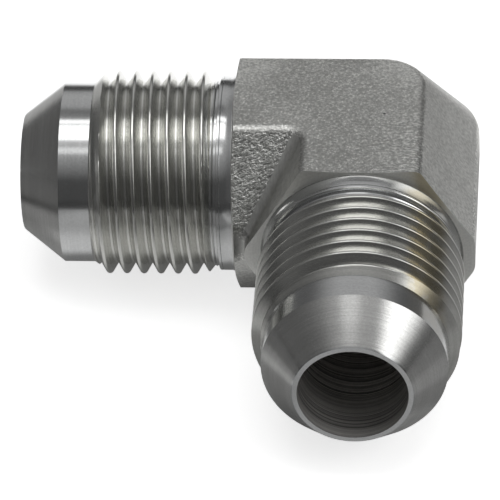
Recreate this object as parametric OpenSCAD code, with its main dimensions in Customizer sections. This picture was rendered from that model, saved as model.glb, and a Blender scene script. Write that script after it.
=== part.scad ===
// Hydraulic elbow adapter: a forged 90 degree elbow with two equal turned ends.
// Each end has a 37 degree flare cone, a plain neck, a straight thread and a collar.
// +Z is up. The origin is on the bottom wrench flat, straight below the crossing of the bore axes.
// One end points along -X and the other along -Y.

/* [Turned ends] */
// Distance from the crossing of the bore axes to each nose face
centre_to_nose = 31.75; // [30:0.25:34]
// Diameter of the drilled bore
bore_diameter = 9.9; // [7:0.1:10.2]
// Diameter of the nose face at the small end of the cone
nose_diameter = 11; // [10.6:0.1:12.5]
// Angle between the flare cone and the axis
cone_angle = 37; // [35:0.5:45]
// Width of the small bevel round the nose face
nose_bevel = 0.12; // [0.05:0.01:0.2]
// Diameter of the plain neck between the cone and the thread
neck_diameter = 16.68; // [15.6:0.02:17]
// Distance from the nose face to the start of the thread
nose_to_thread = 6.55; // [6:0.05:7.5]

/* [Thread] */
// Major diameter of the thread
thread_diameter = 18.85; // [18.5:0.05:19.05]
// Distance from one thread crest to the next
thread_pitch = 1.5875; // [1.25:0.0125:1.75]
// Distance from the shoulder to the end of the thread
shoulder_to_thread = 2; // [1.95:0.05:2.6]
// Diameter at the bottom of the relief groove between thread and collar
relief_diameter = 17.2; // [16.4:0.1:17.6]
// Diameter of the collar against the shoulder
collar_diameter = 18.06; // [17.8:0.02:18.4]
// Length of the collar
collar_length = 1.45; // [1:0.05:1.7]
// Width of the bevel on the collar's front edge
collar_bevel = 0.2; // [0.1:0.05:0.4]
// Length of the flared root where the collar meets the shoulder
root_length = 0.3; // [0.15:0.05:0.5]
// How far the flared root stands out past the collar
root_rise = 0.15; // [0.05:0.05:0.15]

/* [Forged body] */
// Distance from the crossing of the bore axes to each turned shoulder
centre_to_shoulder = 12.05; // [11.8:0.05:13]
// Size across the top and bottom wrench flats
across_flats = 18.9; // [18.6:0.05:20]
// Width of each wrench flat across an arm
flat_width = 10.7; // [9:0.1:12]
// Distance from the axis to the parting land on the outside of the bend
outer_reach = 10.3; // [10:0.05:11]
// How far each turned shoulder stands out past the parting land on the inside of the bend
shoulder_past_valley = 1.2; // [0.9:0.05:1.6]
// Height of the parting land
land_height = 3.4; // [2.4:0.1:4.4]
// Corner radius of the flats on the outside of the bend
flat_corner_radius = 4; // [3:0.1:4.6]
// Corner radius of the parting land on the outside of the bend
land_corner_radius = 5.8; // [5:0.1:7]
// Radius of the valley on the inside of the bend
valley_radius = 1; // [0.6:0.1:1.1]
// Diameter where the turned chamfer starts on each shoulder
chamfer_start = 18.5; // [18.45:0.05:19]
// Angle of the turned chamfer from the shoulder
chamfer_angle = 10; // [8:1:20]

/* [Drilling] */
// How far the full bore runs past the crossing of the axes
bore_overrun = 3; // [1:0.25:4]
// Included angle of the drill point
drill_point_angle = 118; // [90:2:140]

/* [Hidden] */
$fn = 96;
bore_radius = bore_diameter / 2;
nose_radius = nose_diameter / 2;
neck_radius = neck_diameter / 2;
thread_radius = thread_diameter / 2;
relief_radius = relief_diameter / 2;
collar_radius = collar_diameter / 2;
cone_length = (neck_radius - nose_radius) / tan(cone_angle);
// Positions along an end, measured from the crossing of the axes
collar_front = centre_to_shoulder + collar_length;
thread_back = centre_to_shoulder + shoulder_to_thread;
thread_front = centre_to_nose - nose_to_thread;
cone_back = centre_to_nose - cone_length;
// The leading thread is cut off at 45 degrees down to the neck
thread_lead = thread_radius - neck_radius;
// Basic 60 degree form: crest flat of one eighth of the pitch
thread_depth = 0.62 * thread_pitch;
crest_width = thread_pitch / 8;
flank_width = thread_depth * tan(30);
first_groove = thread_back + crest_width + thread_pitch / 2;
groove_count = floor((thread_front - thread_lead - first_groove) / thread_pitch) + 1;
flat_height = across_flats / 2;
// Distance from the axis to the parting land on the inside of the bend
inner_reach = centre_to_shoulder - shoulder_past_valley;
flat_reach = flat_width / 2;
land_top = land_height / 2;
slope_height = flat_height - land_top;
arm_corner = max(norm([inner_reach, land_top]), norm([flat_reach, flat_height]));
drill_tip = bore_radius / tan(drill_point_angle / 2);
// Turned ends start this far inside the shoulder, and cutting shapes pass each surface by the same amount
overlap = 1;

// Half section of one end, radius across and distance from the centre upward
module end_profile() {
    polygon([
        [0, centre_to_shoulder - overlap],
        [collar_radius, centre_to_shoulder - overlap],
        [collar_radius + root_rise, centre_to_shoulder],
        [collar_radius, centre_to_shoulder + root_length],
        [collar_radius, collar_front - collar_bevel],
        [collar_radius - collar_bevel, collar_front],
        [relief_radius, collar_front],
        [relief_radius, thread_back],
        [thread_radius, thread_back],
        [thread_radius, thread_front - thread_lead],
        [neck_radius, thread_front],
        [neck_radius, cone_back],
        [nose_radius, centre_to_nose - nose_bevel],
        [nose_radius - nose_bevel, centre_to_nose],
        [0, centre_to_nose]
    ]);
}

// Half section of one thread groove, centred on its own height
module groove_profile() {
    root_half = thread_pitch / 2 - crest_width / 2 - flank_width;
    mouth_half = thread_pitch / 2 - crest_width / 2;
    polygon([
        [thread_radius - thread_depth, -root_half],
        [thread_radius, -mouth_half],
        [thread_radius + overlap, -mouth_half],
        [thread_radius + overlap, mouth_half],
        [thread_radius, mouth_half],
        [thread_radius - thread_depth, root_half]
    ]);
}

// One turned end standing along +Z
module turned_end() {
    rotate_extrude() {
        difference() {
            end_profile();
            for (i = [0 : groove_count - 1])
                translate([0, first_groove + i * thread_pitch])
                    groove_profile();
        }
    }
}

// Bore of one end with its drill point, standing along +Z
module drilled_bore() {
    translate([0, 0, -bore_overrun])
        cylinder(r = bore_radius, h = centre_to_nose + bore_overrun + overlap);
    translate([0, 0, -bore_overrun - drill_tip])
        cylinder(r1 = 0, r2 = bore_radius, h = drill_tip);
}

// Section across an arm: x positive on the outside of the bend, y up
module arm_section() {
    polygon([
        [flat_reach, flat_height],
        [outer_reach, land_top],
        [outer_reach, -land_top],
        [flat_reach, -flat_height],
        [-flat_reach, -flat_height],
        [-inner_reach, -land_top],
        [-inner_reach, land_top],
        [-flat_reach, flat_height]
    ]);
}

// Side view of the bend: the outer slopes close the far end of an arm
module bend_section() {
    polygon([
        [-centre_to_shoulder, flat_height],
        [flat_reach, flat_height],
        [outer_reach, land_top],
        [outer_reach, -land_top],
        [flat_reach, -flat_height],
        [-centre_to_shoulder, -flat_height]
    ]);
}

// Forged arm along -X, closed on the outside of the bend
module forged_arm() {
    intersection() {
        translate([-centre_to_shoulder, 0, 0])
            rotate([90, 0, 90])
                linear_extrude(centre_to_shoulder + outer_reach)
                    arm_section();
        translate([0, outer_reach, 0])
            rotate([90, 0, 0])
                linear_extrude(outer_reach + inner_reach)
                    bend_section();
    }
}

// Leans its children along the diagonal of the bend, by a number of mm for each mm of height
module lean(amount) {
    multmatrix([
        [1, 0, amount, 0],
        [0, 1, amount, 0],
        [0, 0, 1, 0],
        [0, 0, 0, 1]
    ])
        children();
}

// What the rounded outer corner takes away above the parting plane
module corner_waste() {
    land_centre = outer_reach - land_corner_radius;
    flat_centre = flat_reach - flat_corner_radius;
    waste_size = land_corner_radius + overlap;
    translate([land_centre, land_centre, 0])
        linear_extrude(land_top)
            difference() {
                square(waste_size);
                circle(land_corner_radius);
            }
    translate([land_centre, land_centre, land_top])
        lean((flat_centre - land_centre) / slope_height)
            difference() {
                cube([waste_size, waste_size, slope_height]);
                cylinder(r1 = land_corner_radius, r2 = flat_corner_radius, h = slope_height);
            }
}

// Material that rounds the valley on the inside of the bend, above the parting plane
module valley_fill() {
    translate([-inner_reach, -inner_reach, 0])
        linear_extrude(land_top)
            valley_profile();
    translate([-inner_reach, -inner_reach, land_top])
        lean((inner_reach - flat_reach) / slope_height)
            linear_extrude(slope_height)
                valley_profile();
}

module valley_profile() {
    difference() {
        translate([-valley_radius, -valley_radius])
            square(valley_radius + overlap);
        translate([-valley_radius, -valley_radius])
            circle(valley_radius);
    }
}

// What turning the shoulder takes off an arm's corners, standing along +Z
module shoulder_waste() {
    start = chamfer_start / 2;
    end = arm_corner + overlap;
    rotate_extrude()
        polygon([
            [start, centre_to_shoulder],
            [end, centre_to_shoulder - (end - start) * tan(chamfer_angle)],
            [end, centre_to_shoulder + overlap],
            [start, centre_to_shoulder + overlap]
        ]);
}

// Turns a shape standing along +Z to point along -X
module toward_left() {
    rotate([0, -90, 0])
        children();
}

// Turns a shape standing along +Z to point along -Y
module toward_front() {
    rotate([90, 0, 0])
        children();
}

// The bend as forged, before its shoulders are turned
module rounded_bend() {
    difference() {
        union() {
            forged_arm();
            mirror([1, -1, 0])
                forged_arm();
            valley_fill();
            mirror([0, 0, 1])
                valley_fill();
        }
        corner_waste();
        mirror([0, 0, 1])
            corner_waste();
    }
}

// The bend as forged, with its shoulders turned
module forging() {
    difference() {
        rounded_bend();
        toward_left()
            shoulder_waste();
        toward_front()
            shoulder_waste();
    }
}

module elbow_body() {
    color([0.62, 0.62, 0.6])
        translate([0, 0, flat_height])
            difference() {
                union() {
                    forging();
                    toward_left()
                        turned_end();
                    toward_front()
                        turned_end();
                }
                toward_left()
                    drilled_bore();
                toward_front()
                    drilled_bore();
            }
}

elbow_body();
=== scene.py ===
import math

import bmesh
import bpy
from mathutils import Matrix, Vector


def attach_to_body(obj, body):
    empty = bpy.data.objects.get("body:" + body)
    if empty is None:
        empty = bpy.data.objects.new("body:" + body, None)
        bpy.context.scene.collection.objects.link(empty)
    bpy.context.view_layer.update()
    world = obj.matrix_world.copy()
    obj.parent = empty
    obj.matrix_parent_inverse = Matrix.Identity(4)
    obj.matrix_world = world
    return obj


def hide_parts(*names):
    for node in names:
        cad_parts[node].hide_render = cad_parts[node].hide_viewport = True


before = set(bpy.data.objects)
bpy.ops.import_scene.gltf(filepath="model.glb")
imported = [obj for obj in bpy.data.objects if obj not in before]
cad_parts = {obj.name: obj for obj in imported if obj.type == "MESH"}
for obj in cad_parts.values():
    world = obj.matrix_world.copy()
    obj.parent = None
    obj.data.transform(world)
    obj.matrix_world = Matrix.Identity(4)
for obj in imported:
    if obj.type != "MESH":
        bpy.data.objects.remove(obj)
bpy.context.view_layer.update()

# A millimetre in metres, and a metre in millimetres. Shapes are made in mm and scaled once, when complete.
MM = 0.001
METRE = 1000

# Sizes in mm, the same as in part.scad. Lengths along an end start at the crossing of the bore axes.
AXIS_Z = 9.45
SHOULDER = 12.05
NOSE = 31.75
NOSE_R = 5.5
NOSE_BEVEL = 0.12
CONE_ANGLE = math.radians(37)
NECK_R = 8.34
THREAD_FRONT = NOSE - 6.55
THREAD_BACK = SHOULDER + 2.0
THREAD_R = 9.425
PITCH = 1.5875
RELIEF_R = 8.6
COLLAR_R = 9.03
COLLAR_FRONT = SHOULDER + 1.45
ROOT_LENGTH = 0.3
ROOT_RISE = 0.15
CHAMFER_START_R = 9.25
CHAMFER_SLOPE = math.tan(math.radians(10))
BORE_R = 4.95
BORE_OVERRUN = 3.0
DRILL_HALF_ANGLE = math.radians(59)
FLAT_REACH = 5.35
OUTER_REACH = 10.3
INNER_REACH = 10.85
LAND_TOP = 1.7
FLAT_CORNER_R = 4.0
LAND_CORNER_R = 5.8
VALLEY_R = 1.0

# Only in the finished surface: the cut thread, with its depth, the rounding of crest and root, the half
# width of the crest's flat, how steeply it runs out behind, and where a crest lies on top of each end
THREAD_DEPTH = 0.98
CREST_R = 0.15
CREST_FLAT = 0.03
ROOT_R = 0.14
FLANK_ANGLE = math.radians(60)
RUNOUT_SLOPE = 1.25
LEFT_CREST = NOSE - 7.29
FRONT_CREST = NOSE - 6.91

# Fine turned forms, as (distance back, height) from the thread's end on the relief groove's bottom, and
# from the collar's front on the collar
RELIEF_RIDGE = ((0.1, 0.0), (0.2, 0.08), (0.3, 0.0))
COLLAR_EDGE_AND_GROOVE = ((0.0, -0.05), (0.06, 0.0), (0.26, 0.0), (0.31, -0.07), (0.36, 0.0))
# The collar's front leans back by this much, its flared root ends this far before the shoulder, and each
# end reaches this far into the forging
COLLAR_LEAN = 0.02
ROOT_FOOT = 0.02
END_SUNK = 0.8

# Only in the finished forging: the valley's radius at the flats, how far the inner edges of the parting
# land rise at the left arm and at the front arm, how far the land bows into the body between them, and
# rounded edges as (width, segments)
FLAT_VALLEY_R = 1.6
LAND_TOP_RISE = (0.1, -1.55)
LAND_BOTTOM_RISE = (-0.2, 0.75)
LAND_BOW = 0.35
UPPER_ROUNDING = (0.5, 4)
BOTTOM_ROUNDING = (0.2, 2)

# Cutting shapes reach this radius and pass the shoulder and the nose by these lengths
WASTE_R = 16.0
PAST_SHOULDER = 3
PAST_NOSE = 1

# Faces that meet at more than this angle keep a sharp edge
SHARP_ANGLE = math.radians(32)

# Steps round an end, the valley and the outer corner
COLUMNS = 160
VALLEY_STEPS = 6
CORNER_STEPS = 14
# Points of an outline: the last one on the inside of the bend, and how many start a rough face
VALLEY_END = VALLEY_STEPS + 2
ROUGH_POINTS = 3
# Turns of the helix made before and after the thread, then held to its two ends
TURNS_BEFORE = 2
TURNS_AFTER = 3

# Distances in mm under which vertices are merged and places are the same, and what counts as nothing
MERGE = 1e-5
SAME_PLACE = 1e-6
TINY = 1e-9

# Material slots of the finished mesh, in the order of MATS
MATERIALS = [
    "skin_top",
    "skin_rough",
    "skin_valley",
    "skin_heel",
    "land",
    "turned",
    "shoulder",
    "cone",
    "thread",
    "bore",
]
SLOT = {name: i for i, name in enumerate(MATERIALS)}

# Sockets of a Mix node that hold colours
MIX_A = 6
MIX_B = 7
MIX_RESULT = 2


# Node helpers
class Graph:
    """Builds a node tree from short calls."""

    def __init__(self, tree):
        self.tree = tree
        tree.nodes.clear()

    def add(self, kind, inputs=None, **settings):
        node = self.tree.nodes.new(kind)
        for key, value in settings.items():
            setattr(node, key, value)
        for key, value in (inputs or {}).items():
            self.put(node.inputs[key], value)
        return node

    def put(self, socket, value):
        """Links a socket or a node's first output, or sets a plain value."""
        if isinstance(value, bpy.types.NodeSocket):
            self.tree.links.new(value, socket)
        elif isinstance(value, bpy.types.Node):
            self.tree.links.new(value.outputs[0], socket)
        else:
            socket.default_value = value

    def math(self, operation, a, b=0.0):
        node = self.add("ShaderNodeMath", operation=operation)
        for socket, value in zip(node.inputs, (a, b)):
            self.put(socket, value)
        return node.outputs[0]

    def product(self, *values):
        result = values[0]
        for value in values[1:]:
            result = self.math("MULTIPLY", result, value)
        return result

    def negative(self, value):
        return self.math("MULTIPLY", value, -1.0)

    def magnitude(self, value):
        return self.math("ABSOLUTE", value)

    def step(self, value, low, high, out_low=0.0, out_high=1.0):
        """Smooth step from out_low to out_high while the value goes from low to high."""
        inputs = {
            "Value": value,
            "From Min": low,
            "From Max": high,
            "To Min": out_low,
            "To Max": out_high,
        }
        return self.add("ShaderNodeMapRange", inputs, interpolation_type="SMOOTHSTEP").outputs[0]

    def band(self, value, low, high, soft):
        """1 between low and high, falling to 0 over the soft width on both sides."""
        return self.product(self.step(value, low - soft, low), self.step(value, high + soft, high))

    def dimmed(self, mask, low):
        """1 where the mask is 0, falling to low where it is 1."""
        return self.step(mask, 0, 1, 1.0, low)

    def mix(self, fac, a, b, blend="MIX"):
        node = self.add("ShaderNodeMix", data_type="RGBA", blend_type=blend)
        self.put(node.inputs[0], fac)
        self.put(node.inputs[MIX_A], a)
        self.put(node.inputs[MIX_B], b)
        return node.outputs[MIX_RESULT]

    def grey(self, value):
        return self.add("ShaderNodeCombineColor", {0: value, 1: value, 2: value}).outputs[0]

    def noise(self, vector, scale, detail, rough, distortion=0.0):
        inputs = {
            "Vector": vector,
            "Scale": scale,
            "Detail": detail,
            "Roughness": rough,
            "Distortion": distortion,
        }
        return self.add("ShaderNodeTexNoise", inputs).outputs[0]

    def separate(self, vector):
        return self.add("ShaderNodeSeparateXYZ", {0: vector}).outputs

    def scaled(self, vector, x, y, z):
        inputs = {0: vector, 1: (x, y, z)}
        return self.add("ShaderNodeVectorMath", inputs, operation="MULTIPLY").outputs[0]

    def rotated(self, vector, axis, degrees):
        inputs = {"Vector": vector, "Angle": math.radians(degrees)}
        return self.add("ShaderNodeVectorRotate", inputs, rotation_type=axis).outputs[0]

    def ramp(self, value, stops, full):
        """Greys along a value that goes from 0 to full."""
        node = self.add("ShaderNodeValToRGB", {0: self.math("DIVIDE", value, full)})
        elements = node.color_ramp.elements
        elements.remove(elements[-1])
        elements[0].position = stops[0][0] / full
        elements[0].color = grey(stops[0][1])
        for at, brightness in stops[1:]:
            elements.new(at / full).color = grey(brightness)
        return node.outputs[0]


def grey(value, tint=(1.0, 1.0, 1.0)):
    return (value * tint[0], value * tint[1], value * tint[2], 1.0)


# Mesh helpers
def to_object(name, bm):
    mesh = bpy.data.meshes.new(name)
    bm.to_mesh(mesh)
    bm.free()
    obj = bpy.data.objects.new(name, mesh)
    bpy.context.scene.collection.objects.link(obj)
    for mat in MATS:
        mesh.materials.append(mat)
    return obj


def combine(target, other, operation):
    """Joins or cuts the target with another closed mesh, which is used up."""
    mod = target.modifiers.new("join", "BOOLEAN")
    mod.operation = operation
    mod.solver = "MANIFOLD"
    mod.object = other
    bpy.context.view_layer.update()
    graph = bpy.context.evaluated_depsgraph_get()
    result = bpy.data.meshes.new_from_object(target.evaluated_get(graph))
    target.modifiers.clear()
    old = target.data
    target.data = result
    bpy.data.meshes.remove(old)
    bpy.data.objects.remove(other)


def toward(bm, leg):
    """Turns what was made along +Z, top side toward +X, to lie along a leg."""
    if leg == "left":
        turn = Matrix(((0, 0, -1), (0, 1, 0), (1, 0, 0)))
    else:
        turn = Matrix(((0, -1, 0), (0, 0, -1), (1, 0, 0)))
    bmesh.ops.transform(bm, matrix=turn.to_4x4(), verts=bm.verts)
    bmesh.ops.translate(bm, vec=(0, 0, AXIS_Z), verts=bm.verts)
    bmesh.ops.recalc_face_normals(bm, faces=bm.faces)


def circle(bm, radius, distance):
    angles = [2 * math.pi * i / COLUMNS for i in range(COLUMNS)]
    return [bm.verts.new((radius * math.cos(t), radius * math.sin(t), distance)) for t in angles]


def quarter_turn(steps):
    return [math.pi / 2 * i / steps for i in range(steps + 1)]


# The forged bend
def outline(outer, inner, corner, valley):
    """Plan at one level, from the left arm's inner side round the valley and the outer corner."""
    pts = [(-SHOULDER, -inner)]
    centre = -inner - valley
    for t in quarter_turn(VALLEY_STEPS):
        pts.append((centre + valley * math.sin(t), centre + valley * math.cos(t)))
    pts += [(-inner, -SHOULDER), (outer, -SHOULDER)]
    centre = outer - corner
    for t in quarter_turn(CORNER_STEPS):
        pts.append((centre + corner * math.cos(t), centre + corner * math.sin(t)))
    pts.append((-SHOULDER, outer))
    return pts


def flat_points(height):
    plan = outline(FLAT_REACH, FLAT_REACH, FLAT_CORNER_R, FLAT_VALLEY_R)
    return [(x, y, height) for x, y in plan]


def land_points(height, rise):
    """An edge of the parting land. On the inside it slants from the left arm to the front arm."""
    plan = outline(OUTER_REACH, INNER_REACH, LAND_CORNER_R, VALLEY_R)
    pts = [(x, y, height) for x, y in plan]
    for i in range(VALLEY_END + 1):
        share = i / VALLEY_END
        x, y, z = pts[i]
        bow = LAND_BOW * math.sin(math.pi * share)
        pts[i] = (x + bow, y + bow, z + rise[0] + (rise[1] - rise[0]) * share)
    return pts


def skin_name(band, i):
    """Surface of the face at point i in a band: 0 above the parting land, 1 the land, 2 below it."""
    if band == 1:
        return "land"
    if band == 0 and i < ROUGH_POINTS:
        return "skin_rough"
    if 0 < i < VALLEY_END:
        return "skin_valley"
    return "skin_heel"


def round_edges(bm, rings, rounding):
    """Rounds the long edges of the rings, but not those across the two arms' ends."""
    width, segments = rounding
    count = len(rings[0])
    edges = []
    for ring in rings:
        for i in range(count):
            if i not in (VALLEY_END, count - 1):
                edges.append(bm.edges.get((ring[i], ring[(i + 1) % count])))
    bmesh.ops.bevel(
        bm,
        geom=edges,
        offset=width,
        offset_type="OFFSET",
        segments=segments,
        profile=0.5,
        affect="EDGES",
        clamp_overlap=True,
        miter_outer="SHARP",
        miter_inner="SHARP",
    )


def forging():
    """The bend as forged: four outlines lofted, top and bottom closed, long edges rounded."""
    bm = bmesh.new()
    levels = (
        flat_points(AXIS_Z),
        land_points(LAND_TOP, LAND_TOP_RISE),
        land_points(-LAND_TOP, LAND_BOTTOM_RISE),
        flat_points(-AXIS_Z),
    )
    rings = [[bm.verts.new(p) for p in level] for level in levels]
    count = len(rings[0])
    for band, (upper, lower) in enumerate(zip(rings, rings[1:])):
        for i in range(count):
            j = (i + 1) % count
            face = bm.faces.new((upper[i], upper[j], lower[j], lower[i]))
            face.material_index = SLOT[skin_name(band, i)]
    for ring in (list(reversed(rings[0])), rings[-1]):
        bm.faces.new(ring).material_index = SLOT["skin_top"]
    bmesh.ops.recalc_face_normals(bm, faces=bm.faces)
    round_edges(bm, rings[:3], UPPER_ROUNDING)
    round_edges(bm, rings[3:], BOTTOM_ROUNDING)
    bmesh.ops.translate(bm, vec=(0, 0, AXIS_Z), verts=bm.verts)
    return to_object("forging", bm)


# Turned and threaded ends
def thread_form():
    """(distance from a crest's middle, depth) over half a pitch: rounded crest, V, rounded root."""
    pts = [(0.0, 0.0)]
    for degrees in (0, 15, 30, 45, 60):
        t = math.radians(degrees)
        pts.append((CREST_FLAT + CREST_R * math.sin(t), CREST_R * (1 - math.cos(t))))
    start_x, start_depth = pts[-1]
    end_depth = THREAD_DEPTH - ROOT_R / 2
    end_x = start_x + (end_depth - start_depth) / math.tan(FLANK_ANGLE)
    # Points close to both ends of the flank keep its shading flat
    for share in (0.08, 0.92, 1.0):
        x = start_x + (end_x - start_x) * share
        pts.append((x, start_depth + (end_depth - start_depth) * share))
    for degrees in (40, 20, 0):
        t = math.radians(degrees)
        across = ROOT_R * (math.sin(FLANK_ANGLE) - math.sin(t))
        pts.append((end_x + across, THREAD_DEPTH - ROOT_R * (1 - math.cos(t))))
    pts.append((PITCH / 2, THREAD_DEPTH))
    return pts


FORM = thread_form()
PHASES = [x / PITCH for x, _ in FORM] + [1 - x / PITCH for x, _ in reversed(FORM[1:-1])]


def groove_depth(phase):
    """Depth of the groove at a share of the pitch, 0 at the middle of a crest."""
    x = abs((phase + 0.5) % 1.0 - 0.5) * PITCH
    for (x0, d0), (x1, d1) in zip(FORM, FORM[1:]):
        if x <= x1:
            return d0 + (d1 - d0) * (x - x0) / (x1 - x0)
    return THREAD_DEPTH


def thread_radius(distance, phase):
    """Radius of the cut thread: cut off at 45 degrees in front, running out behind."""
    if distance > THREAD_FRONT - TINY:
        return NECK_R
    if distance < THREAD_BACK + TINY:
        return RELIEF_R
    lead = NECK_R + (THREAD_FRONT - distance)
    runout = RELIEF_R + RUNOUT_SLOPE * (distance - THREAD_BACK)
    return min(THREAD_R, lead, runout, THREAD_R - groove_depth(phase))


def thread_columns(bm, crest_on_top):
    """Columns of vertices along the end, one for each step round it, shifted by the helix."""
    turns = int((THREAD_FRONT - THREAD_BACK) / PITCH) + TURNS_BEFORE + TURNS_AFTER
    turns_to_crest = int((crest_on_top - THREAD_BACK) / PITCH) + TURNS_BEFORE
    base = crest_on_top - PITCH * turns_to_crest
    stations = [PITCH * (turn + phase) for turn in range(turns) for phase in PHASES]
    columns = []
    for i in range(COLUMNS):
        t = 2 * math.pi * i / COLUMNS
        shift = base + PITCH * i / COLUMNS
        column = []
        for station in stations:
            d = min(max(station + shift, THREAD_BACK), THREAD_FRONT)
            r = thread_radius(d, (d - shift) / PITCH)
            column.append(bm.verts.new((r * math.cos(t), r * math.sin(t), d)))
        columns.append(column)
    return columns


def thread_surface(bm, crest_on_top):
    """The threaded surface, open at both ends."""
    columns = thread_columns(bm, crest_on_top)
    count = len(columns[0])
    for i in range(COLUMNS):
        low = columns[i]
        high = columns[(i + 1) % COLUMNS]
        # At the seam the next column is one whole pitch further on
        ahead = len(PHASES) if i == COLUMNS - 1 else 0
        for k in range(count - 1 - ahead):
            quad = (low[k], low[k + 1], high[k + 1 + ahead], high[k + ahead])
            bm.faces.new(quad).material_index = SLOT["thread"]
    bmesh.ops.remove_doubles(bm, verts=bm.verts, dist=MERGE)
    flattened = [f for f in bm.faces if f.calc_area() < TINY]
    bmesh.ops.delete(bm, geom=flattened, context="FACES")


def ring_at(bm, distance):
    """Vertices at a distance along the end, in order round it."""
    ring = [v for v in bm.verts if abs(v.co.z - distance) < SAME_PLACE]
    ring.sort(key=lambda v: math.atan2(v.co.y, v.co.x) % (2 * math.pi))
    return ring


def attach(bm, ring, profile):
    """Carries a ring on through (radius, distance, material) and closes the last one."""
    for radius, distance, name in profile:
        new = circle(bm, radius, distance)
        for i in range(COLUMNS):
            j = (i + 1) % COLUMNS
            bm.faces.new((ring[i], ring[j], new[j], new[i])).material_index = SLOT[name]
        ring = new
    bm.faces.new(ring).material_index = SLOT["turned"]


def nose_profile():
    """Neck, flare cone and nose, from the thread outward."""
    cone_back = NOSE - (NECK_R - NOSE_R) / math.tan(CONE_ANGLE)
    return [
        (NECK_R, cone_back, "turned"),
        (NOSE_R, NOSE - NOSE_BEVEL, "cone"),
        (NOSE_R - NOSE_BEVEL, NOSE, "turned"),
    ]


def collar_profile():
    """Relief groove, collar and its flared root, from the thread back into the forging."""
    pts = [(RELIEF_R + height, THREAD_BACK - back) for back, height in RELIEF_RIDGE]
    pts.append((RELIEF_R, COLLAR_FRONT + COLLAR_LEAN))
    pts += [(COLLAR_R + height, COLLAR_FRONT - back) for back, height in COLLAR_EDGE_AND_GROOVE]
    pts.append((COLLAR_R, SHOULDER + ROOT_LENGTH))
    pts.append((COLLAR_R + ROOT_RISE, SHOULDER + ROOT_FOOT))
    pts.append((COLLAR_R + ROOT_RISE, SHOULDER - END_SUNK))
    return [(radius, distance, "turned") for radius, distance in pts]


def threaded_end(leg, crest_on_top):
    """One turned end. crest_on_top is the distance of a crest from the crossing on the top side."""
    bm = bmesh.new()
    thread_surface(bm, crest_on_top)
    back = ring_at(bm, THREAD_BACK)
    front = ring_at(bm, THREAD_FRONT)
    attach(bm, front, nose_profile())
    attach(bm, back, collar_profile())
    toward(bm, leg)
    return to_object("end_" + leg, bm)


def revolve(name, profile, leg, slot):
    """Closed solid of revolution from (radius, distance) points. A radius of 0 makes a tip."""
    bm = bmesh.new()
    rings = [circle(bm, r, d) if r else [bm.verts.new((0, 0, d))] * COLUMNS for r, d in profile]
    pairs = list(zip(rings, rings[1:]))
    if profile[0][0]:
        pairs.append((rings[-1], rings[0]))
    for low, high in pairs:
        for i in range(COLUMNS):
            j = (i + 1) % COLUMNS
            corners = list(dict.fromkeys((low[i], low[j], high[j], high[i])))
            bm.faces.new(corners).material_index = SLOT[slot]
    toward(bm, leg)
    return to_object(name, bm)


def shoulder_cutter(leg):
    """What turning the shoulder takes off the forging's corners."""
    profile = [
        (CHAMFER_START_R, SHOULDER),
        (WASTE_R, SHOULDER - (WASTE_R - CHAMFER_START_R) * CHAMFER_SLOPE),
        (WASTE_R, SHOULDER + PAST_SHOULDER),
        (CHAMFER_START_R, SHOULDER + PAST_SHOULDER),
    ]
    return revolve("shoulder_" + leg, profile, leg, "shoulder")


def bore_cutter(leg):
    """The drilled bore with its drill point."""
    profile = [
        (0, -BORE_OVERRUN - BORE_R / math.tan(DRILL_HALF_ANGLE)),
        (BORE_R, -BORE_OVERRUN),
        (BORE_R, NOSE + PAST_NOSE),
        (0, NOSE + PAST_NOSE),
    ]
    return revolve("bore_" + leg, profile, leg, "bore")


def elbow():
    """The whole piece, in metres."""
    body = forging()
    for leg in ("left", "front"):
        combine(body, shoulder_cutter(leg), "DIFFERENCE")
    combine(body, threaded_end("left", LEFT_CREST), "UNION")
    combine(body, threaded_end("front", FRONT_CREST), "UNION")
    for leg in ("left", "front"):
        combine(body, bore_cutter(leg), "DIFFERENCE")
    body.data.transform(Matrix.Scale(MM, 4))
    body.name = "elbow_finished"
    body.data.name = "elbow_finished"
    body.data.shade_smooth()
    body.data.set_sharp_from_angle(angle=SHARP_ANGLE)
    return body


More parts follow.
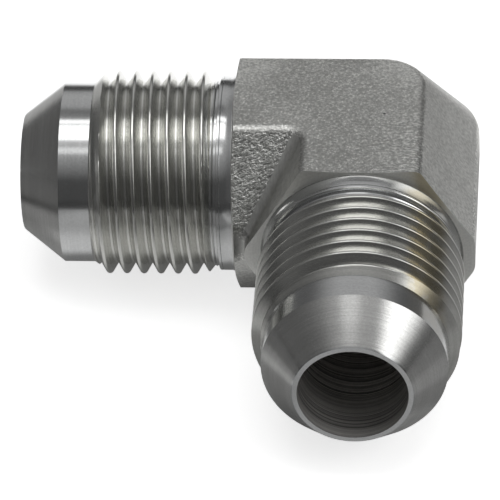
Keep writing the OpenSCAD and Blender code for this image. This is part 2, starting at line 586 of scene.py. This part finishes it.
# Materials. Noise scales are in cells per mm, and bumps in mm.
class Metal:
    """One metal surface: a node graph with the coordinates in mm that its pattern needs."""

    def __init__(self, name, base, rough, tint, metallic=1.0):
        self.mat = bpy.data.materials.new(name)
        self.mat.use_nodes = True
        g = self.g = Graph(self.mat.node_tree)
        out = g.add("ShaderNodeOutputMaterial")
        self.shader = g.add("ShaderNodeBsdfPrincipled", {"Metallic": metallic, "Roughness": rough})
        g.put(out.inputs[0], self.shader)
        self.mm = g.scaled(g.add("ShaderNodeTexCoord").outputs["Object"], METRE, METRE, METRE)
        self.x, self.y, self.z = g.separate(self.mm)
        self.color = grey(base, tint)
        self.bumps = []

    def rings(self):
        """Vector of distance along the leg and radius, so that a noise on it makes turning lines."""
        g = self.g
        left = g.negative(self.x)
        front = g.negative(self.y)
        along = g.math("MAXIMUM", left, front)
        across = g.math("MINIMUM", left, front)
        height = g.math("SUBTRACT", self.z, AXIS_Z)
        squares = g.math("ADD", g.product(across, across), g.product(height, height))
        radius = g.math("SQRT", squares)
        return g.add("ShaderNodeCombineXYZ", {0: along, 1: radius}).outputs[0]

    def spread(self, value, low, high, dark, light):
        """Multiplies the colour by dark to light while a value goes from low to high."""
        shade = self.g.grey(self.g.step(value, low, high, dark, light))
        self.color = self.g.mix(1.0, self.color, shade, "MULTIPLY")

    def tint(self, mask, color):
        self.color = self.g.mix(mask, self.color, (*color, 1.0))

    def spot(self, place, size, color):
        """A small mark at a place in mm."""
        g = self.g
        gap = g.add("ShaderNodeVectorMath", {0: self.mm, 1: place}, operation="DISTANCE")
        self.tint(g.step(gap.outputs["Value"], size, size * 0.5), color)

    def bump(self, height, distance):
        self.bumps.append((height, distance))

    def done(self):
        g = self.g
        g.put(self.shader.inputs["Base Color"], self.color)
        normal = None
        for height, distance in self.bumps:
            inputs = {"Strength": 1.0, "Distance": distance * MM, "Height": height}
            node = g.add("ShaderNodeBump", inputs)
            if normal:
                g.put(node.inputs["Normal"], normal)
            normal = node.outputs[0]
        if normal:
            g.put(self.shader.inputs["Normal"], normal)
        return self.mat


OLIVE = (1.0, 1.0, 0.965)
BLACK_SPECK = (0.04, 0.04, 0.04)
DARK_PIT = (0.1, 0.1, 0.1)
CORNER_PIT = (0.12, 0.12, 0.11)
BRIGHT_FLECK = (0.95, 0.95, 0.92)
BRIGHT_DASH = (1.0, 1.0, 0.97)
YELLOW_STAIN = (0.6, 0.51, 0.3)


def top_skin():
    """Descaled and plated forging skin of the wrench flats: fine pitted grain, bright flecks."""
    m = Metal("skin_top", base=0.56, rough=0.34, tint=OLIVE)
    g = m.g
    grain = g.noise(m.mm, scale=4.2, detail=3, rough=0.7)
    dashes = g.noise(g.scaled(m.mm, 1.3, 3.4, 3.4), scale=1.4, detail=3, rough=0.6)
    cloud = g.noise(m.mm, scale=0.3, detail=2, rough=0.5)
    # Worn right corners, and a painted reflection that brightens the back of the flat on both sides of its
    # middle
    corners = g.product(g.step(m.x, -1, 5.5), g.step(g.magnitude(m.y), 1.5, 5.0))
    from_middle = g.magnitude(g.math("ADD", m.x, 3.5))
    back = g.product(g.step(m.y, -2, 5), g.step(from_middle, 2.0, 7.5))
    m.spread(cloud, 0.3, 0.7, 0.95, 1.05)
    # Painted shade and reflection: darker toward the front of the flat, brighter on its back
    m.spread(m.y, -12, 4, 0.93, 1.04)
    m.spread(back, 0, 1, 1.0, 1.36)
    m.spread(grain, 0.36, 0.64, 0.74, 1.2)
    m.tint(g.step(grain, 0.57, 0.66, 0.0, 0.9), BRIGHT_FLECK)
    m.tint(g.product(g.step(dashes, 0.53, 0.6), corners, 0.9), BRIGHT_DASH)
    m.spot((1.9, -3.2, 2 * AXIS_Z), 0.16, DARK_PIT)
    m.spot((5.6, -3.4, 2 * AXIS_Z - 0.1), 0.16, CORNER_PIT)
    m.bump(cloud, 0.03)
    m.bump(dashes, 0.03)
    m.bump(grain, 0.05)
    return m.done()


def rough_skin():
    """The pitted slope inside the left arm, drawn out along a diagonal."""
    m = Metal("skin_rough", base=0.6, rough=0.28, tint=OLIVE)
    g = m.g
    leaned = g.rotated(g.rotated(m.mm, "X_AXIS", -52), "Z_AXIS", -35)
    stretched = g.scaled(leaned, 0.8, 1.35, 1.0)
    grain = g.noise(stretched, scale=2.9, detail=3, rough=0.62, distortion=0.35)
    m.spread(grain, 0.34, 0.58, 0.64, 1.18)
    m.bump(grain, 0.17)
    return m.done()


def smooth_skin(name, base, rough, fine, coarse, stretch, contrast):
    """Forging skin that the die has wiped, with its grain drawn out."""
    m = Metal(name, base, rough, OLIVE)
    g = m.g
    grain = g.noise(g.scaled(m.mm, *stretch), scale=3.6, detail=3, rough=0.7)
    cloud = g.noise(m.mm, scale=0.35, detail=3, rough=0.55)
    m.spread(cloud, 0.3, 0.7, 0.93, 1.05)
    m.spread(grain, 0.34, 0.66, 1 - contrast, 1 + contrast)
    m.bump(cloud, coarse)
    m.bump(grain, fine)
    return m.done()


def turned_metal(name, base, rough, line, tone, tint, stain):
    """Turned and plated metal: rings of tool marks, specks, and the stain on the front end."""
    m = Metal(name, base, rough, tint)
    g = m.g
    rings = m.rings()
    lines = g.noise(rings, scale=6.0, detail=2, rough=0.6)
    bands = g.noise(rings, scale=0.8, detail=2, rough=0.5)
    specks = g.noise(m.mm, scale=5.0, detail=2, rough=0.6)
    for pattern in (bands, lines):
        m.spread(pattern, 0.3, 0.7, 1 - tone, 1 + tone)
    m.spread(specks, 0.3, 0.7, 0.95, 1.04)
    side = g.product(g.band(m.x, 5.6, 7.0, 1.4), g.step(m.z, 9.5, 12.5), g.step(m.y, -10, -12))
    blots = g.step(g.noise(m.mm, scale=0.7, detail=3, rough=0.6), 0.3, 0.55, 0.3, 1.0)
    m.tint(g.product(side, blots, stain), YELLOW_STAIN)
    m.spot((-15.9, -5.5, AXIS_Z + 7.6), 0.26, BLACK_SPECK)
    m.bump(lines, line)
    m.bump(specks, line * 0.7)
    return m.done()


def drilled_metal():
    """Inside of the bore: dull, scored round by the drill, with painted light deep inside and painted
    reflections on the score lines.
    """
    m = Metal("bore", base=0.36, rough=0.42, tint=(1, 0.97, 0.93), metallic=0.3)
    g = m.g
    rings = m.rings()
    along = g.separate(rings)[0]
    lines = g.noise(rings, scale=4.0, detail=4, rough=0.75)
    # Painted light: the wall brighter deep in the bore, dimmer toward the nose
    m.spread(along, 12, 31, 2.6, 0.75)
    # Score lines, whose light and dark is partly painted reflection off their sides
    m.spread(lines, 0.38, 0.62, 0.35, 1.5)
    m.bump(lines, 0.16)
    return m.done()


MATS = [
    top_skin(),
    rough_skin(),
    smooth_skin(
        "skin_valley", base=0.65, rough=0.38, fine=0.01, coarse=0.05, stretch=(1, 0.5, 0.35), contrast=0.1
    ),
    smooth_skin(
        "skin_heel", base=0.59, rough=0.36, fine=0.03, coarse=0.05, stretch=(1.2, 1.2, 0.55), contrast=0.2
    ),
    smooth_skin(
        "land", base=0.44, rough=0.35, fine=0.008, coarse=0.03, stretch=(1, 1, 0.4), contrast=0.1
    ),
    turned_metal(
        "turned", base=0.62, rough=0.15, line=0.0012, tone=0.03, tint=(0.99, 1, 1.0), stain=0.15
    ),
    turned_metal("shoulder", base=0.84, rough=0.38, line=0.002, tone=0.03, tint=OLIVE, stain=0.5),
    turned_metal("cone", base=0.62, rough=0.22, line=0.003, tone=0.05, tint=(1, 1, 0.98), stain=0.0),
    turned_metal(
        "thread", base=0.64, rough=0.21, line=0.0012, tone=0.06, tint=(1, 1, 0.96), stain=0.62
    ),
    drilled_metal(),
]

body = elbow()
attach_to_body(body, "root")
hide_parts("elbow_body")

# Floor, in metres, just under the part
FLOOR_SIZE = 3.0
FLOOR_Z = -0.3 * MM
# Brightness of its paper, of the light that lifts it toward white for the camera, and of the dark room
# that metal mirrors past its front edge
PAPER = 0.8
LIFT = 0.72
ROOM = 0.06


def sheet_shade(g, x, y):
    """Paper in a mirror, by place in mm, with painted shade: dimmer at the sides, in front and, as a
    painted shadow, under the ends.
    """
    behind = g.step(y, 6, 14)
    left = g.product(g.step(x, -34, -30, 0.6, 1.0), g.step(x, -52, -47, 0.2, 1.0))
    left = g.math("ADD", left, g.step(x, -56, -60, 0.0, 0.2))
    left = g.math("MAXIMUM", left, behind)
    # Painted shade on the paper to the right of the front end and in front of the part
    right = g.product(g.step(x, 6, 12), g.step(y, -6, -16))
    far_right = g.product(g.step(x, 26, 38), g.step(y, 10, 0))
    front_left = g.product(g.step(x, -27, -22), g.step(x, -4, -9), g.step(y, -21, -26))
    front_right = g.product(g.step(x, 5, 8), g.step(x, 19, 15), g.step(y, -21, -26))
    # Painted shadow of the two ends on the paper beneath them
    under_left_end = g.product(g.step(x, 0, -8), g.step(y, -7, -5), g.step(y, 9, 6))
    shadow_under_front_end = g.product(g.step(y, 0, -8), g.step(x, -8, -6), g.step(x, 8, 6))
    under = g.math("MAXIMUM", under_left_end, shadow_under_front_end)
    return g.product(
        left,
        g.dimmed(right, 0.62),
        g.dimmed(far_right, 0.7),
        g.dimmed(front_left, 0.48),
        g.dimmed(front_right, 0.72),
        g.dimmed(under, 0.85),
    )


def sheet_glow(g, x, y):
    """Light the paper adds in a mirror, by place in mm: most behind the part, some in the bend."""
    behind = g.product(g.step(y, 14, 22, 0.0, 0.8), g.step(x, -48, -36), g.step(x, 26, 12))
    left = g.product(g.step(x, -40, -34), g.step(x, -6, -12))
    in_bend = g.product(left, g.step(y, -22, -9), g.step(y, -6, -9), 0.33)
    under_left_end = g.product(left, g.band(y, -8, 6, 2), 0.09)
    right = g.product(g.band(x, 9, 17, 3), g.band(y, -14, 3, 4), 0.28)
    return g.math("ADD", g.math("ADD", behind, right), g.math("ADD", in_bend, under_left_end))


def floor_material():
    mat = bpy.data.materials.new("floor")
    mat.use_nodes = True
    g = Graph(mat.node_tree)
    out = g.add("ShaderNodeOutputMaterial")
    x, y, _ = g.separate(g.scaled(g.add("ShaderNodeTexCoord").outputs["Object"], METRE, METRE, 0))
    paper = g.add("ShaderNodeBsdfDiffuse", {"Color": grey(PAPER)})
    lift = g.add("ShaderNodeEmission", {"Color": grey(1.0), "Strength": LIFT})
    seen = g.add("ShaderNodeAddShader", {0: paper, 1: lift})
    toned = g.mix(1.0, grey(PAPER), g.grey(sheet_shade(g, x, y)), "MULTIPLY")
    sheet = g.add("ShaderNodeBsdfDiffuse", {"Color": toned})
    glow = g.add("ShaderNodeEmission", {"Color": grey(1.0), "Strength": sheet_glow(g, x, y)})
    lit_sheet = g.add("ShaderNodeAddShader", {0: sheet, 1: glow})
    # In a mirror the paper ends in front, and the room begins
    on_sheet = g.step(y, -68, -60)
    room = g.add("ShaderNodeEmission", {"Color": grey(ROOM)})
    mirrored = g.add("ShaderNodeMixShader", {0: on_sheet, 1: room, 2: lit_sheet})
    ray = g.add("ShaderNodeLightPath").outputs
    surface = g.add("ShaderNodeMixShader", {0: ray["Is Glossy Ray"], 1: paper, 2: mirrored})
    surface = g.add("ShaderNodeMixShader", {0: ray["Is Camera Ray"], 1: surface, 2: seen})
    g.put(out.inputs[0], surface)
    return mat


bpy.ops.mesh.primitive_plane_add(size=FLOOR_SIZE, location=(0, 0, FLOOR_Z))
floor = bpy.context.object
floor.name = "floor"
floor.data.materials.append(floor_material())

# Studio. Brightness of its walls by height above the horizon in degrees, as (height, brightness)
ZENITH = 90
FRONT_WALL = [(0, 0.08), (26, 0.085), (50, 0.35), (72, 0.58), (90, 0.7)]
BACK_WALL = [(0, 0.06), (12, 0.1), (19, 0.42), (30, 0.5), (50, 0.45), (57, 0.2), (90, 0.3)]
SIDE_WALL = [(0, 0.13), (20, 0.12), (35, 0.15), (48, 0.24), (60, 0.3), (90, 0.3)]
OVERHEAD_LIGHT = 2.4
PANEL_LIGHT = 1.15
WINDOW_LIGHT = 2.2


def in_degrees(g, operation, *values):
    return g.math("MULTIPLY", g.math(operation, *values), 180 / math.pi)


def studio_sky(g):
    """Brightness of the studio by direction."""
    x, y, z = g.separate(g.add("ShaderNodeTexCoord").outputs["Generated"])
    to_front = g.negative(y)
    # In degrees: above the horizon, from the front over the top to the back, and from the front toward +X
    height = in_degrees(g, "ARCSINE", z)
    over = in_degrees(g, "ARCTAN2", z, to_front)
    side = in_degrees(g, "ARCTAN2", x, to_front)
    front_wall = g.ramp(height, FRONT_WALL, ZENITH)
    back_wall = g.ramp(height, BACK_WALL, ZENITH)
    side_wall = g.ramp(height, SIDE_WALL, ZENITH)
    from_back = g.math("SUBTRACT", 180, g.magnitude(side))
    back_wall = g.mix(g.step(from_back, 12, 42), back_wall, side_wall)
    sky = g.mix(g.step(y, -0.2, 0.2), front_wall, back_wall)
    sky = g.mix(g.step(g.magnitude(x), 0.4, 0.65), sky, side_wall)
    # A light overhead with a dark seam, a narrow panel in front of it, and a tall window on the right
    seam = g.dimmed(g.band(over, 99.6, 101.4, 1.0), 0.12)
    overhead = g.product(g.band(over, 80.0, 106.0, 2.5), g.band(x, -0.3, 0.33, 0.1))
    sky = g.mix(overhead, sky, g.grey(g.math("MULTIPLY", seam, OVERHEAD_LIGHT)))
    panel = g.product(g.band(over, 61.5, 67.5, 2.0), g.band(x, -0.21, 0.04, 0.07))
    sky = g.mix(panel, sky, grey(PANEL_LIGHT))
    window_width = g.product(g.step(side, 46, 56), g.step(side, 98, 80))
    window = g.product(window_width, g.step(height, 6, 33), g.step(height, 60, 50))
    return g.mix(window, sky, grey(WINDOW_LIGHT))


def studio():
    """World that lights the part from the studio's walls, and is white to the camera."""
    world = bpy.data.worlds.new("studio")
    bpy.context.scene.world = world
    world.use_nodes = True
    g = Graph(world.node_tree)
    out = g.add("ShaderNodeOutputWorld")
    sky = g.add("ShaderNodeBackground", {"Color": studio_sky(g), "Strength": 1.0})
    white = g.add("ShaderNodeBackground", {"Color": grey(1.0), "Strength": 1.0})
    ray = g.add("ShaderNodeLightPath").outputs
    g.put(out.inputs[0], g.add("ShaderNodeMixShader", {0: ray["Is Camera Ray"], 1: sky, 2: white}))


studio()

# Camera at the photograph's angle: how far it stands to the right of the front, its height and its roll
CAMERA_SIDE = math.radians(4.9154)
CAMERA_HEIGHT = math.radians(38.6364)
CAMERA_ROLL = math.radians(-2.5728)
# In mm: from the crossing of the axes, and how far it is moved to its own right and up
CAMERA_DISTANCE = 497.205
CAMERA_RIGHT = -10.8686
CAMERA_UP = -7.0753
# Focal length and frame in pixels of the photograph, and the sensor in mm
FOCAL_PX = 5363.04
FRAME_PX = 500
SENSOR = 36
# In metres
CLIP_START = 0.01
CLIP_END = 10


def camera():
    level_share = math.cos(CAMERA_HEIGHT)
    back = Vector((
        math.sin(CAMERA_SIDE) * level_share,
        -math.cos(CAMERA_SIDE) * level_share,
        math.sin(CAMERA_HEIGHT),
    ))
    level = Vector((math.cos(CAMERA_SIDE), math.sin(CAMERA_SIDE), 0))
    upright = back.cross(level)
    right = math.cos(CAMERA_ROLL) * level + math.sin(CAMERA_ROLL) * upright
    up = -math.sin(CAMERA_ROLL) * level + math.cos(CAMERA_ROLL) * upright
    target = Vector((0, 0, AXIS_Z))
    place = (back * CAMERA_DISTANCE + right * CAMERA_RIGHT + up * CAMERA_UP + target) * MM
    cam = bpy.data.cameras.new("camera")
    cam.sensor_width = SENSOR
    cam.lens = FOCAL_PX * SENSOR / FRAME_PX
    cam.clip_start = CLIP_START
    cam.clip_end = CLIP_END
    obj = bpy.data.objects.new("camera", cam)
    bpy.context.scene.collection.objects.link(obj)
    obj.matrix_world = Matrix.Translation(place) @ Matrix((right, up, back)).transposed().to_4x4()
    return obj


bpy.context.scene.camera = camera()
bpy.context.scene.view_settings.view_transform = "Standard"
